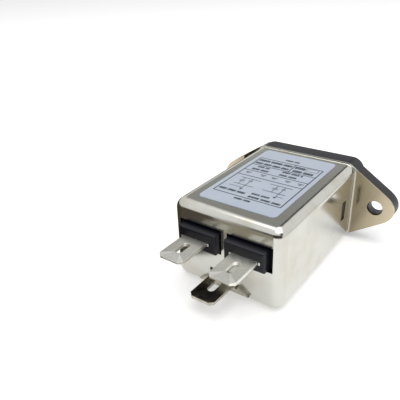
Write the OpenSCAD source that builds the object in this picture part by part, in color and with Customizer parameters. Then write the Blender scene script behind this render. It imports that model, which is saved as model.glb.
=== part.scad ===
// EMI line filter with a C14 panel inlet at the front and three tabs at the rear.
// Origin: middle of the flange's rear face, where it meets the panel.
// +X runs along the flange, +Y from the flange to the tabs, +Z up through the label.

/* [Mounting flange] */
// Distance between the two screw holes
hole_spacing = 40; // [39:0.5:42]
// Radius of each round ear
ear_r = 4.4; // [4:0.1:5]
// Height of the flange, bottom edge to top edge
flange_h = 21; // [21:0.2:23]
// Distance from the middle to the centre of each of the four upper and lower corners
corner_x = 11.5; // [11.5:0.1:12]
// Radius of those corners
corner_r = 2.5; // [2:0.1:3]
// Radius of the screw holes in the metal ears
metal_hole_r = 1.95; // [1.8:0.05:2.2]
// Radius of the screw holes in the moulding
screw_hole_r = 1.75; // [1.5:0.05:1.8]
// Radius of the countersink at the front face
countersink_r = 3; // [2.4:0.1:3.2]

/* [Can] */
// Width of the can
can_w = 28; // [27.6:0.1:28]
// Height of the can
can_h = 20.4; // [20:0.1:20.4]
// Depth of the can, from the panel face to its back wall
can_d = 38; // [38:0.5:44]
// Outer radius of the can's rounded edges
can_edge_r = 2.5; // [2.2:0.1:2.6]
// Thickness of the sheet
sheet_t = 0.5; // [0.4:0.05:0.6]

/* [Inlet] */
// Thickness of the moulded front plate
plate_t = 3.9; // [3.2:0.1:4.2]
// Height of the raised rim in front of the plate
rim_t = 1.6; // [1:0.1:2.5]
// Half width of the socket
socket_x = 12.2; // [12:0.05:12.3]
// Half height of the socket
socket_z = 8.3; // [8:0.05:8.4]
// Size of the two slanted lower corners of the socket
socket_key = 5.4; // [4.6:0.1:5.5]
// Depth of the socket, from the front of its rim
socket_d = 17; // [16:0.25:17.25]
// Distance from the middle to the line pin and to the neutral pin
pin_pitch = 7; // [6.9:0.05:7.1]

/* [Tabs] */
// Width of the tabs
tab_w = 6.3; // [4.8:0.1:6.4]
// Thickness of the tabs
tab_t = 0.8; // [0.5:0.1:0.8]
// How far the line and neutral tabs reach behind the back wall
tab_reach = 11; // [10:0.1:13]
// How far the earth tab reaches behind the back wall
earth_reach = 9.3; // [9:0.1:12]

/* [Label] */
// Width of the label
label_w = 19.6; // [16:0.2:21]
// Length of the label
label_l = 32.2; // [28:0.1:32.4]
// Thickness of the label
label_t = 0.12; // [0.1:0.01:0.2]

/* [Hidden] */
$fn = 64;
soft_fn = 32;
eps = 0.01;

// Colours, as red, green and blue
NICKEL = [0.78, 0.75, 0.69];
BLACK = [0.07, 0.07, 0.09];
LABEL = [0.77, 0.80, 0.86];

// Where the sheet, the plate, the rim and the socket end, along Y
flange_front = -sheet_t;
plate_front = flange_front - plate_t;
rim_front = plate_front - rim_t;
socket_floor = rim_front + socket_d;

// Can: the bend at the flange and the inside faces
bend_r = 0.2;
inner_x = can_w / 2 - sheet_t;
inner_z = can_h / 2 - sheet_t;
inner_y = can_d - sheet_t;

// Front plate: its soft front edge, and the depth of the countersink
plate_edge = 0.4;
countersink_d = 1.5;

// Collar round the socket: its half width and half height, the corners of its slanted
// lower sides, its corner radii, its draft and its soft front edge
collar_x = 14.6;
collar_z = 10.3;
collar_key_x = 10.8;
collar_key_z = 5.2;
collar_top_r = 3.4;
collar_key_r = 1.5;
collar_draft = 0.15;
collar_edge = 0.35;
socket_top_r = 2;
socket_key_r = 1;

// Body of the moulding inside the can, and its hollow lower corners
body_gap = 0.15;
body_r = can_edge_r - sheet_t - body_gap;
body_end = socket_floor + 1.55;
pocket_wall = 1.25;
pocket_front = 1;

// Windows in the can's sides, and the hooks that snap into them
latch_front = 4.3;
latch_back = 6.6;
latch_h = 5.2;
hook_gap = 0.15;
hook_top = 0.5;

// Windows in the back wall, and the two insulators whose noses stand in them
tab_x = 6.35;
tab_z = 2.7;
window_x = 6.3;
window_z = 2.85;
window_w = 11.1;
window_h = 6.1;
window_r = 0.3;
nose_x = 6;
nose_z = 2.8;
nose_w = 10;
nose_h = 5;
nose_reach = 2;
nose_bevel = 0.55;
lip_t = 1;
lip_step = 0.5;
lip_h = 8.1;
lip_in_x = 0.2;
lip_out_x = can_w / 2 - can_edge_r;
inner_block = [9.5, 4.6];
inner_block_y = 32.5;

// Contact pins
line_pin_z = 2;
earth_pin_z = -2;
pin_w = 2;
pin_h = 4;
line_tip = -1.6;
earth_tip = -3.8;
tip_w = 0.9;
tip_h = 2.6;
tip_l = 0.8;
tail_end = 17;
tail_t = 0.8;
tail_h = 3;
tail_hole_r = 0.6;
tail_hole_y = 14.6;

// Tabs
tab_end = can_d + tab_reach;
tab_corner = 0.9;
tab_slot_r = 0.85;
tab_slot_back = 2.75;
tab_slot_l = 4;
tab_bevel = 0.2;
tab_bevel_l = 0.7;
shoulder_w = 7.6;
shoulder_front = can_d - 1;
shoulder_back = can_d + nose_reach + 0.15;
tab_tail_w = 3;
tab_tail_y = 29.5;

// Earth terminal: a tab bent from a foot that widens downward
earth_z = -6.1;
earth_end = can_d + earth_reach;
earth_slot_back = 3.3;
earth_bend_r = 0.4;
foot_w = 13.2;
foot_top_w = 8.2;
foot_bottom = -8.3;
foot_top = -6.5;
relief_w = 0.7;
relief_bottom = -7.1;

// Two small openings in the back wall, one on each side of the earth tab
side_hole_x = 3.5;
side_hole_w = 0.8;
side_hole_bottom = -6;
side_hole_h = 1.5;

// Label
label_y = 1.7;
label_r = 1.2;

// Choke: ring core, divider and two windings
core_y = 25;
core_z = -5.2;
core_outer_r = 7;
core_inner_r = 4;
core_h = 6;
core_edge = 0.6;
divider_t = 1;
divider_top = 0.7;
wire_r = 0.45;
wire_off = wire_r + 0.06;
wire_bend = 0.5;
turns = 9;
turn_step = 16;

// Capacitors, resistor, strap and liner
lead_r = 0.3;
x_cap = [13, 10, 6];
x_cap_y = 18;
x_cap_z = 0.5;
x_lead_x = 5;
x_lead_z = 3;
disc_r = 3.5;
disc_t = 2.8;
disc = [10.6, 28, -3];
disc_leads = 2.5;
resistor = [0, 30.6, 7.2];
resistor_l = 6.4;
resistor_r = 1.2;
strap_w = 3;
strap_t = 0.6;
strap_top = -0.35;
strap_turn = 33;
strap_low = -3.7;
strap_foot = -6.5;
liner_t = 0.25;
liner_end = 36;

// ---------------------------------------------------------------- helpers

// Turns an outline drawn in X and Z into a slab from y0 to y1
module slab(y0, y1) {
  translate([0, y1, 0])
    rotate([90, 0, 0])
      linear_extrude(y1 - y0)
        children();
}

// Turns an outline drawn in Y and Z into a bar of width w, centred on X
module bar(w) {
  rotate([90, 0, 90])
    linear_extrude(w, center = true)
      children();
}

// Draws its children on the left and on the right
module left_and_right() {
  children();
  mirror([1, 0, 0]) children();
}

// Draws its children above and below
module above_and_below() {
  children();
  mirror([0, 0, 1]) children();
}

// Direction square to the straight side of a belt, on the way from circle a to circle b
function belt_side(a, b) =
  let (way = [b[0] - a[0], b[1] - a[1]])
  let (angle = atan2(way[1], way[0]) - acos((a[2] - b[2]) / norm(way)))
  [cos(angle), sin(angle)];

// A belt round a ring of circles [x, z, radius], listed anticlockwise
module belt(circles) {
  n = len(circles);
  polygon([
    for (i = [0:n - 1])
      let (a = circles[i], b = circles[(i + 1) % n], side = belt_side(a, b))
      for (c = [a, b]) [c[0] + c[2] * side[0], c[1] + c[2] * side[1]]
  ]);
  for (c = circles)
    translate([c[0], c[1]]) circle(c[2]);
}

// A rectangle with round corners, by its half width, half height and corner radius
module round_rect(x, z, r) {
  belt([[x - r, z - r, r], [r - x, z - r, r], [r - x, r - z, r], [x - r, r - z, r]]);
}

// A slot with round ends along Y
module round_slot(y0, y1, r) {
  belt([[0, y0 + r, r], [0, y1 - r, r]]);
}

function unit(v) = v / norm(v);

// Direction of travel at point i of a path
function heading(path, i) =
  let (back = path[max(i - 1, 0)], here = path[i], ahead = path[min(i + 1, len(path) - 1)])
  i == 0 ? unit(ahead - here)
  : i == len(path) - 1 ? unit(here - back)
  : unit(unit(here - back) + unit(ahead - here));

// One direction square to the path at each point, carried along without twist
function carried(path, side, i = 0) =
  i == len(path) ? []
  : let (way = heading(path, i), now = unit(side - way * (side * way)))
    concat([now], carried(path, now, i + 1));

// A round wire of radius r along a path; side is any direction square to its start
module wire(path, r, side, faces_round = 8) {
  n = len(path);
  m = faces_round;
  sides = carried(path, side);
  points = [
    for (i = [0:n - 1])
      let (way = heading(path, i), across = cross(way, sides[i]))
      for (k = [0:m - 1])
        path[i] + r * (cos(360 * k / m) * sides[i] + sin(360 * k / m) * across)
  ];
  skin = [
    for (i = [0:n - 2])
      for (k = [0:m - 1])
        let (a = i * m + k, b = i * m + (k + 1) % m)
        each [[a, b + m, b], [a, a + m, b + m]]
  ];
  polyhedron(points, concat(
    [[for (k = [0:m - 1]) k]],
    skin,
    [[for (k = [m - 1:-1:0]) (n - 1) * m + k]]
  ));
}

// ---------------------------------------------------------------- can

// Outline of the flange, drawn in or out by grow
module flange_outline(grow = 0) {
  ear = hole_spacing / 2;
  corner_z = flange_h / 2 - corner_r;
  belt([
    [ear, 0, ear_r + grow],
    [corner_x, corner_z, corner_r + grow],
    [-corner_x, corner_z, corner_r + grow],
    [-ear, 0, ear_r + grow],
    [-corner_x, -corner_z, corner_r + grow],
    [corner_x, -corner_z, corner_r + grow]
  ]);
}

module screw_holes(r) {
  for (x = [-1, 1] * hole_spacing / 2)
    translate([x, 0, 0])
      rotate([90, 0, 0])
        cylinder(h = 4 * plate_t, r = r, center = true);
}

// A quarter ring of sheet with inner radius r
module quarter_ring(r) {
  intersection() {
    difference() {
      circle(r + sheet_t);
      circle(r);
    }
    square(r + 2 * sheet_t);
  }
}

// Section of the sheet from the flange to the back wall. X runs outward from the
// centre of the can's round edge and Y along the can.
module wall_section() {
  translate([can_edge_r + bend_r, bend_r])
    rotate(180) quarter_ring(bend_r);
  translate([can_edge_r - sheet_t, bend_r])
    square([sheet_t, can_d - can_edge_r - bend_r]);
  translate([0, can_d - can_edge_r])
    quarter_ring(can_edge_r - sheet_t);
}

// Carries a section round the can: four turned corners and four straight sides
module around_can() {
  side_x = can_w / 2 - can_edge_r;
  side_z = can_h / 2 - can_edge_r;
  left_and_right()
    above_and_below()
      translate([side_x, 0, -side_z])
        rotate([-90, 0, 0])
          rotate_extrude(angle = 90) children();
  left_and_right()
    translate([side_x, 0, -side_z])
      linear_extrude(2 * side_z) children();
  above_and_below()
    translate([side_x, 0, side_z])
      rotate([0, -90, 0])
        linear_extrude(2 * side_x) children();
}

// Shape of a window in the back wall, from y0 to y1
module rear_window(y0, y1) {
  translate([window_x, 0, window_z])
    slab(y0, y1) round_rect(window_w / 2, window_h / 2, window_r);
}

module can() {
  flat_x = can_w / 2 - can_edge_r;
  flat_z = can_h / 2 - can_edge_r;
  color(NICKEL)
    difference() {
      union() {
        around_can() wall_section();
        slab(inner_y, can_d) square(2 * [flat_x, flat_z], center = true);
        slab(flange_front, 0)
          difference() {
            flange_outline();
            round_rect(can_w / 2 + bend_r, can_h / 2 + bend_r, can_edge_r + bend_r);
          }
      }
      screw_holes(metal_hole_r);
      left_and_right() {
        rear_window(inner_y - can_edge_r, can_d + eps);
        translate([side_hole_x - side_hole_w / 2, inner_y - eps, side_hole_bottom])
          cube([side_hole_w, 2 * sheet_t, side_hole_h]);
        translate([can_w / 2 - 2 * sheet_t, latch_front, -latch_h / 2])
          cube([3 * sheet_t, latch_back - latch_front, latch_h]);
      }
    }
}

// ---------------------------------------------------------------- inlet

// Outline of the C14 socket, drawn out by grow
module socket_outline(grow = 0) {
  top_x = socket_x - socket_top_r;
  top_z = socket_z - socket_top_r;
  key = socket_key + socket_key_r * (sqrt(2) - 1);
  side_x = socket_x - socket_key_r;
  low_z = socket_z - socket_key_r;
  belt([
    [top_x, top_z, socket_top_r + grow],
    [-top_x, top_z, socket_top_r + grow],
    [-side_x, key - socket_z, socket_key_r + grow],
    [key - socket_x, -low_z, socket_key_r + grow],
    [socket_x - key, -low_z, socket_key_r + grow],
    [side_x, key - socket_z, socket_key_r + grow]
  ]);
}

// Front plate with a soft front edge
module front_plate() {
  slab(plate_front + plate_edge, flange_front) flange_outline();
  hull() {
    slab(plate_front, plate_front + eps) flange_outline(-plate_edge, $fn = soft_fn);
    slab(plate_front + plate_edge, plate_front + plate_edge + eps)
      flange_outline(-eps, $fn = soft_fn);
  }
}

// Outline of the collar, drawn out by grow
module collar_outline(grow = 0) {
  top_x = collar_x - collar_top_r;
  top_z = collar_z - collar_top_r;
  side_x = collar_x - collar_key_r;
  low_z = collar_z - collar_key_r;
  belt([
    [top_x, top_z, collar_top_r + grow],
    [-top_x, top_z, collar_top_r + grow],
    [-side_x, -collar_key_z, collar_key_r + grow],
    [-collar_key_x, -low_z, collar_key_r + grow],
    [collar_key_x, -low_z, collar_key_r + grow],
    [side_x, -collar_key_z, collar_key_r + grow]
  ]);
}

// Collar round the mouth of the socket, with steep sides and a soft front edge
module raised_rim() {
  foot = plate_front + plate_edge;
  hull() {
    slab(rim_front, rim_front + eps)
      collar_outline(-collar_draft - collar_edge, $fn = soft_fn);
    slab(rim_front + collar_edge, rim_front + collar_edge + eps)
      collar_outline(-collar_draft, $fn = soft_fn);
    slab(foot, foot + eps) collar_outline($fn = soft_fn);
  }
}

// Snap hook on the side of the body, its ramp toward the rear
module latch_hook() {
  x = inner_x - body_gap;
  y = latch_front + hook_gap;
  linear_extrude(latch_h - 4 * hook_gap, center = true)
    polygon([
      [x - sheet_t, y],
      [x + hook_top, y],
      [x + hook_top, y + hook_top],
      [x, latch_back - hook_gap],
      [x - sheet_t, latch_back - hook_gap]
    ]);
}

// Hollow behind each slanted corner of the socket, open to the rear
module corner_pocket() {
  x = socket_x - 0.1;
  z = -socket_z;
  reach = socket_x + socket_z - socket_key + pocket_wall * sqrt(2);
  slab(pocket_front, body_end + eps)
    polygon([[x, z], [x, x - reach], [reach + z, z]]);
}

module inlet_housing() {
  color(BLACK)
    difference() {
      union() {
        front_plate();
        raised_rim();
        slab(flange_front - eps, body_end)
          round_rect(inner_x - body_gap, inner_z - body_gap, body_r);
        left_and_right() latch_hook();
      }
      slab(rim_front - eps, socket_floor) socket_outline();
      screw_holes(screw_hole_r);
      left_and_right() {
        translate([hole_spacing / 2, plate_front - eps, 0])
          rotate([-90, 0, 0])
            cylinder(h = countersink_d, r1 = countersink_r, r2 = screw_hole_r);
        corner_pocket();
      }
      pin_slot(pin_pitch, line_pin_z);
      pin_slot(-pin_pitch, line_pin_z);
      pin_slot(0, earth_pin_z);
    }
}

module pin_slot(x, z) {
  translate([x - pin_w / 2, socket_floor - eps, z - pin_h / 2])
    cube([pin_w, body_end - socket_floor + 2 * eps, pin_h]);
}

// Outline of a pin, seen from the side where its full size is w and its tip's is t
module pin_outline(w, t, tip) {
  polygon([
    [-w / 2, tip + tip_l], [-t / 2, tip], [t / 2, tip],
    [w / 2, tip + tip_l], [w / 2, body_end], [-w / 2, body_end]
  ]);
}

module pin(x, z, tip) {
  color(NICKEL)
    translate([x, 0, z]) {
      intersection() {
        linear_extrude(pin_h, center = true) pin_outline(pin_w, tip_w, tip);
        rotate([0, -90, 0])
          linear_extrude(pin_w, center = true) pin_outline(pin_h, tip_h, tip);
      }
      bar(tail_t)
        difference() {
          translate([body_end - tail_t, -tail_h / 2])
            square([tail_end - body_end + tail_t, tail_h]);
          translate([tail_hole_y, 0]) circle(tail_hole_r);
        }
    }
}

module line_pin() pin(pin_pitch, line_pin_z, line_tip);
module neutral_pin() pin(-pin_pitch, line_pin_z, line_tip);
module earth_pin() pin(0, earth_pin_z, earth_tip);

// ---------------------------------------------------------------- rear insulators

// Outline of an insulator's nose from above or from the side, w across
module nose_outline(w) {
  face = can_d + nose_reach;
  polygon([
    [-w / 2, inner_y - lip_t], [w / 2, inner_y - lip_t], [w / 2, face - nose_bevel],
    [w / 2 - nose_bevel, face], [nose_bevel - w / 2, face], [-w / 2, face - nose_bevel]
  ]);
}

module insulator() {
  color(BLACK)
    difference() {
      union() {
        translate([nose_x, 0, nose_z]) {
          intersection() {
            linear_extrude(nose_h, center = true) nose_outline(nose_w);
            rotate([0, -90, 0])
              linear_extrude(nose_w, center = true) nose_outline(nose_h);
          }
          slab(inner_block_y, inner_y - lip_step) square(inner_block, center = true);
        }
        difference() {
          translate([lip_in_x, inner_y - lip_t, window_z - lip_h / 2])
            cube([lip_out_x - lip_in_x, lip_t, lip_h]);
          rear_window(inner_y - lip_step, can_d);
        }
      }
      translate([tab_x, 0, tab_z])
        linear_extrude(tab_t, center = true) {
          translate([-tab_w / 2, inner_block_y - eps])
            square([tab_w, can_d - inner_block_y]);
          translate([-shoulder_w / 2, shoulder_front])
            square([shoulder_w, shoulder_back - shoulder_front]);
        }
    }
}

module line_insulator() insulator();
module neutral_insulator() mirror([1, 0, 0]) insulator();

// ---------------------------------------------------------------- tabs

// Blade of a tab from y0 to y1, with its cut corners and its slot
module blade(y0, y1, slot_back) {
  difference() {
    polygon([
      [-tab_w / 2, y0], [tab_w / 2, y0], [tab_w / 2, y1 - tab_corner],
      [tab_w / 2 - tab_corner, y1], [tab_corner - tab_w / 2, y1],
      [-tab_w / 2, y1 - tab_corner]
    ]);
    round_slot(y1 - slot_back - tab_slot_l, y1 - slot_back, tab_slot_r);
  }
}

// Thins the tip of a tab that ends at y1; the tab's middle plane is z = 0
module thin_tip(y0, y1) {
  intersection() {
    children();
    bar(2 * shoulder_w)
      polygon([
        [y0, -tab_t], [y1 - tab_bevel_l, -tab_t / 2], [y1, tab_bevel - tab_t / 2],
        [y1, tab_t / 2 - tab_bevel], [y1 - tab_bevel_l, tab_t / 2], [y0, tab_t]
      ]);
  }
}

module line_tab() {
  color(NICKEL)
    translate([tab_x, 0, tab_z])
      thin_tip(tab_tail_y, tab_end)
        linear_extrude(tab_t, center = true) {
          blade(inner_block_y, tab_end, tab_slot_back);
          translate([-shoulder_w / 2, shoulder_front])
            square([shoulder_w, shoulder_back - shoulder_front]);
          translate([-tab_tail_w / 2, tab_tail_y])
            square([tab_tail_w, inner_block_y - tab_tail_y]);
        }
}

module neutral_tab() mirror([1, 0, 0]) line_tab();

// The tab is bent up from its foot, which lies against the back wall
module earth_terminal() {
  bend_out = earth_bend_r + tab_t;
  bend_z = earth_z + tab_t / 2 - bend_out;
  color(NICKEL) {
    translate([0, 0, earth_z])
      thin_tip(can_d + bend_out, earth_end)
        linear_extrude(tab_t, center = true)
          blade(can_d + bend_out, earth_end, earth_slot_back);
    bar(tab_w)
      translate([can_d + bend_out, bend_z])
        intersection() {
          difference() {
            circle(bend_out);
            circle(earth_bend_r);
          }
          translate([-bend_out, 0]) square(bend_out);
        }
    slab(can_d, can_d + tab_t)
      difference() {
        polygon([
          [-foot_w / 2, foot_bottom], [foot_w / 2, foot_bottom],
          [foot_top_w / 2, foot_top], [-foot_top_w / 2, foot_top]
        ]);
        translate([-tab_w / 2 - relief_w, relief_bottom])
          square([tab_w + 2 * relief_w, tab_w]);
      }
    slab(can_d, can_d + tab_t)
      translate([-tab_w / 2, relief_bottom])
        square([tab_w, bend_z - relief_bottom]);
  }
}

// ---------------------------------------------------------------- label

module rating_label() {
  color(LABEL)
    translate([0, label_y + label_l / 2, can_h / 2])
      linear_extrude(label_t)
        round_rect(label_w / 2, label_l / 2, label_r);
}

// ---------------------------------------------------------------- choke

module choke_core() {
  wide = core_outer_r - core_inner_r;
  color([0.20, 0.33, 0.24])
    translate([0, core_y, core_z])
      rotate_extrude()
        translate([core_inner_r + wide / 2, 0])
          round_rect(wide / 2, core_h / 2, core_edge);
}

// A web in the ring's bore, hung from a bar that lies across the ring
module choke_divider() {
  web = core_inner_r - 0.1;
  color([0.90, 0.88, 0.80])
    bar(divider_t)
      translate([core_y, core_z]) {
        translate([-core_outer_r, core_h / 2])
          square([2 * core_outer_r, divider_top]);
        translate([-web, -core_h / 2])
          square([2 * web, core_h + divider_top / 2]);
      }
}

// Where the wire runs round the ring's section, as distance from the axis and height
turn_corners =
  let (
    near = core_inner_r - wire_off, far = core_outer_r + wire_off,
    high = core_h / 2 + wire_off, cut = wire_bend
  )
  [
    [far, high - cut], [far, cut - high], [far - cut, -high], [near + cut, -high],
    [near, cut - high], [near, high - cut], [near + cut, high], [far - cut, high]
  ];

// Place of step i along the winding, eight steps to a turn
function winding_point(i) =
  let (
    angle = turn_step * (i / len(turn_corners) - turns / 2),
    at = turn_corners[i % len(turn_corners)]
  )
  [at[0] * cos(angle), core_y + at[0] * sin(angle), core_z + at[1]];

module winding() {
  into_pin = [
    [pin_pitch, tail_end, line_pin_z], [pin_pitch, tail_end + 0.5, line_pin_z],
    [6.6, tail_end + 0.5, 0.4], [4.5, tail_end + 0.5, -1.1]
  ];
  round_core = [for (i = [0:len(turn_corners) * turns]) winding_point(i)];
  to_tab = [
    [4.2, 31.6, -1], [5.8, 31.2, 0], [tab_x, 31, 1.1], [tab_x, 31, tab_z - tab_t / 2]
  ];
  wire(concat(into_pin, round_core, to_tab), wire_r, [1, 0, 0], 6);
}

module line_winding() color([0.72, 0.36, 0.16]) winding();
module neutral_winding() color([0.72, 0.36, 0.16]) mirror([1, 0, 0]) winding();

// ---------------------------------------------------------------- small parts

module x_capacitor() {
  pin_face = pin_pitch - tail_t / 2;
  color([0.86, 0.68, 0.22]) {
    translate([-x_cap[0] / 2, x_cap_y, x_cap_z]) cube(x_cap);
    left_and_right()
      wire([
        [x_lead_x, x_cap_y + 1, x_lead_z], [x_lead_x, tail_end - 0.5, x_lead_z],
        [x_lead_x + 0.5, tail_end - 1, x_lead_z], [pin_face, tail_end - 1, x_lead_z]
      ], lead_r, [0, 0, 1]);
  }
}

// Disc capacitor with one lead to the tab and one to the strap
module y_capacitor() {
  tail_face = tab_x + tab_tail_w / 2;
  strap_mid = strap_top - strap_t / 2;
  back = disc[1] + disc_leads;
  front = disc[1] - disc_leads;
  color([0.16, 0.36, 0.62]) {
    translate(disc)
      rotate([0, 90, 0])
        rotate_extrude()
          intersection() {
            round_rect(disc_r, disc_t / 2, disc_t / 2 - 0.4);
            translate([0, -disc_t]) square([disc_r, 2 * disc_t]);
          }
    wire([
      [disc[0], back, disc[2] + 1.5], [disc[0], back, tab_z - 0.7],
      [disc[0] - 0.7, back, tab_z], [tail_face, back, tab_z]
    ], lead_r, [0, 1, 0]);
    wire([
      [disc[0], front, disc[2] + 1], [disc[0], front, strap_mid - 0.5],
      [disc[0] - 0.5, front, strap_mid], [strap_w / 2, front, strap_mid]
    ], lead_r, [0, 1, 0]);
  }
}

module line_y_capacitor() y_capacitor();
module neutral_y_capacitor() mirror([1, 0, 0]) y_capacitor();

// Small resistor with swollen ends, its leads bent down onto the two tabs
module bleed_resistor() {
  color([0.55, 0.66, 0.72])
    translate(resistor) {
      rotate([0, 90, 0]) {
        cylinder(h = resistor_l - 1, r = resistor_r - 0.2, center = true);
        above_and_below()
          translate([0, 0, resistor_l / 2 - 1.2])
            rotate_extrude()
              intersection() {
                round_rect(resistor_r, 1.2, 0.6);
                translate([0, -2]) square([resistor_r, 4]);
              }
      }
      left_and_right()
        wire([
          [resistor_l / 2 - 1, 0, 0], [tab_x - 0.5, 0, 0], [tab_x, 0, -0.5],
          [tab_x, 0, tab_z + tab_t / 2 - resistor[2]]
        ], lead_r, [0, 1, 0]);
    }
}

// Strip from the earth pin, over the choke, down and onto the back wall
module earth_strap() {
  low = strap_low - strap_t;
  color([0.80, 0.78, 0.74])
    bar(strap_w) {
      translate([tail_end, earth_pin_z - 1]) square([strap_t, strap_top - earth_pin_z + 1]);
      translate([tail_end, strap_top - strap_t])
        square([strap_turn + strap_t - tail_end, strap_t]);
      translate([strap_turn, low]) square([strap_t, strap_top - low]);
      translate([strap_turn, low]) square([inner_y - strap_turn, strap_t]);
      translate([inner_y - strap_t, strap_foot]) square([strap_t, strap_low - strap_foot]);
    }
}

// Thin sleeve between the live parts and the can
module insulating_liner() {
  x = inner_x - body_gap;
  z = inner_z - body_gap;
  color([0.93, 0.91, 0.84])
    slab(body_end, liner_end)
      difference() {
        round_rect(x, z, body_r);
        round_rect(x - liner_t, z - liner_t, body_r - liner_t);
      }
}

can();
inlet_housing();
line_pin();
neutral_pin();
earth_pin();
line_insulator();
neutral_insulator();
line_tab();
neutral_tab();
earth_terminal();
rating_label();
choke_core();
choke_divider();
line_winding();
neutral_winding();
x_capacitor();
line_y_capacitor();
neutral_y_capacitor();
bleed_resistor();
earth_strap();
insulating_liner();
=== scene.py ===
# %% [markdown]
# # An EMI line filter with a panel inlet
#
# The object is a drawn nickel-plated can that closes over a small filter. A black
# moulded inlet fills its front, and three flat tabs leave its back. The exact solids
# come from the frame. This lesson gives each visible piece its softer edges, its
# finish and its small marks, and leaves the parts that the can hides as they are.

# %% Load the exact solids
import math

import bmesh
import bpy
from mathutils import Matrix, Vector


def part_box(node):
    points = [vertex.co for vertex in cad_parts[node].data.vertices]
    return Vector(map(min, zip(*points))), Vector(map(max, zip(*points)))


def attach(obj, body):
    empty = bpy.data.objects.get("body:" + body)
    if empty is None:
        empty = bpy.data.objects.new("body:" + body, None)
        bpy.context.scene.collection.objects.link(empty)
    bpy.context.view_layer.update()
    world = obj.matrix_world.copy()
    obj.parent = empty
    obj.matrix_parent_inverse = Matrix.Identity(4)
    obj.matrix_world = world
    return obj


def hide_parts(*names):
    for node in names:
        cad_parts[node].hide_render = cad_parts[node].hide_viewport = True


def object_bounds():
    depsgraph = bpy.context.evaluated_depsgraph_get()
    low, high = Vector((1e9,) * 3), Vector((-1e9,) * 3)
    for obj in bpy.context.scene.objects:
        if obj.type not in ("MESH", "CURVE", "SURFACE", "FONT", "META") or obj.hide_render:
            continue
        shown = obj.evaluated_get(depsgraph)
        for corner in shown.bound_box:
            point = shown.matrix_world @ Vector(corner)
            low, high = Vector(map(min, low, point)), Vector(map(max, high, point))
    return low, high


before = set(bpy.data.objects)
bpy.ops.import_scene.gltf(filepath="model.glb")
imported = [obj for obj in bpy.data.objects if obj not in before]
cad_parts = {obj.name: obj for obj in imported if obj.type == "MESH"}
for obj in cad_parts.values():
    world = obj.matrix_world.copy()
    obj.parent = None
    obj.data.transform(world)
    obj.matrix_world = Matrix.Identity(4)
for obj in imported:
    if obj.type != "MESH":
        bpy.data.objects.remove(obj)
cad_box = [list(corner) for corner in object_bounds()]
MM = 0.001
print("solids:", len(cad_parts), "box in mm:", [[round(c / MM, 2) for c in p] for p in cad_box])

# %% [markdown]
# ## Tools of the bench
#
# Three small helpers are enough. One turns a colour as it is written for a screen
# into the linear numbers a shader wants. One adds a shader node with its settings
# and its links. One turns a finished bmesh into a piece that stands for a solid.

# %% Colour, node and piece helpers
def paint(code, alpha=1.0):
    """Linear colour of an sRGB hex code."""
    parts = [int(code[i:i + 2], 16) / 255 for i in (1, 3, 5)]
    return tuple(p / 12.92 if p <= 0.04045 else ((p + 0.055) / 1.055) ** 2.4 for p in parts) + (alpha,)


def add(tree, kind, links=None, **settings):
    """Adds a node. Settings name its properties; links name its inputs, as values or sockets."""
    node = tree.nodes.new(kind)
    for name, value in settings.items():
        setattr(node, name, value)
    for name, value in (links or {}).items():
        socket = node.inputs[name]
        if isinstance(value, bpy.types.NodeSocket):
            tree.links.new(value, socket)
        else:
            socket.default_value = value
    return node


def finish_mesh(name, bm, material, node, smooth=True):
    """Makes the piece, lets it ride on the part and stand for its solid."""
    mesh = bpy.data.meshes.new(name)
    bm.to_mesh(mesh)
    bm.free()
    mesh.polygons.foreach_set("use_smooth", [smooth] * len(mesh.polygons))
    piece = bpy.data.objects.new(name, mesh)
    bpy.context.scene.collection.objects.link(piece)
    piece.data.materials.append(material)
    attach(piece, "root")
    if node:
        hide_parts(node)
    print(name, "faces:", len(mesh.polygons))
    return piece


def soft_edges(piece, width, segments=2, angle=40):
    """Rounds the sharp edges of a piece and keeps its flat faces flat."""
    bevel = piece.modifiers.new("soft_edges", "BEVEL")
    bevel.width = width * MM
    bevel.segments = segments
    bevel.limit_method = "ANGLE"
    bevel.angle_limit = math.radians(angle)
    bevel.use_clamp_overlap = True
    bevel.harden_normals = True
    flat = piece.modifiers.new("flat_faces", "WEIGHTED_NORMAL")
    flat.keep_sharp = True
    return bevel


# %% [markdown]
# ## Camera, floor and light
#
# The filter lies on a white sheet, seen from behind and above, so that its tabs come
# toward the eye. Nickel shows what stands round it, so the studio is part of the
# finish: a wide soft light overhead, white paper underneath, and darker screens behind
# the camera, beyond the object and close beside it that give the metal its grey and
# brown. Only reflections see the screens, so they cast no shadow and hide nothing.

# %% Camera
camera_data = bpy.data.cameras.new("camera")
camera_data.sensor_width = 36
camera_data.lens = 41.522
camera_data.clip_start = 0.005
camera = bpy.data.objects.new("camera", camera_data)
camera.location = (-0.047568, 0.106786, 0.057207)
camera.rotation_euler = [math.radians(a) for a in (62.5255, 2.3336, -143.3225)]
bpy.context.scene.collection.objects.link(camera)
bpy.context.scene.camera = camera
bpy.context.scene.view_settings.view_transform = "Standard"
print("camera at", [round(c, 4) for c in camera.location])


# %% Floor, sky and lamps
FLOOR_Z = cad_box[0][2]


def stage_sheet(name, size, place, turn, material):
    """A flat sheet of the studio."""
    bm = bmesh.new()
    bmesh.ops.create_grid(bm, x_segments=1, y_segments=1, size=0.5)
    bmesh.ops.scale(bm, vec=(size[0], size[1], 1), verts=bm.verts)
    bmesh.ops.transform(bm, matrix=Matrix.Translation(place) @ turn.to_4x4(), verts=bm.verts)
    mesh = bpy.data.meshes.new(name)
    bm.to_mesh(mesh)
    bm.free()
    sheet = bpy.data.objects.new(name, mesh)
    sheet.data.materials.append(material)
    bpy.context.scene.collection.objects.link(sheet)
    return sheet


def emitter(name, colour, strength):
    """A material that only gives off an even glow."""
    material = bpy.data.materials.new(name)
    material.use_nodes = True
    tree = material.node_tree
    tree.nodes.clear()
    glow = add(tree, "ShaderNodeEmission", {"Color": colour, "Strength": strength})
    add(tree, "ShaderNodeOutputMaterial", {"Surface": glow.outputs[0]})
    return material


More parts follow.
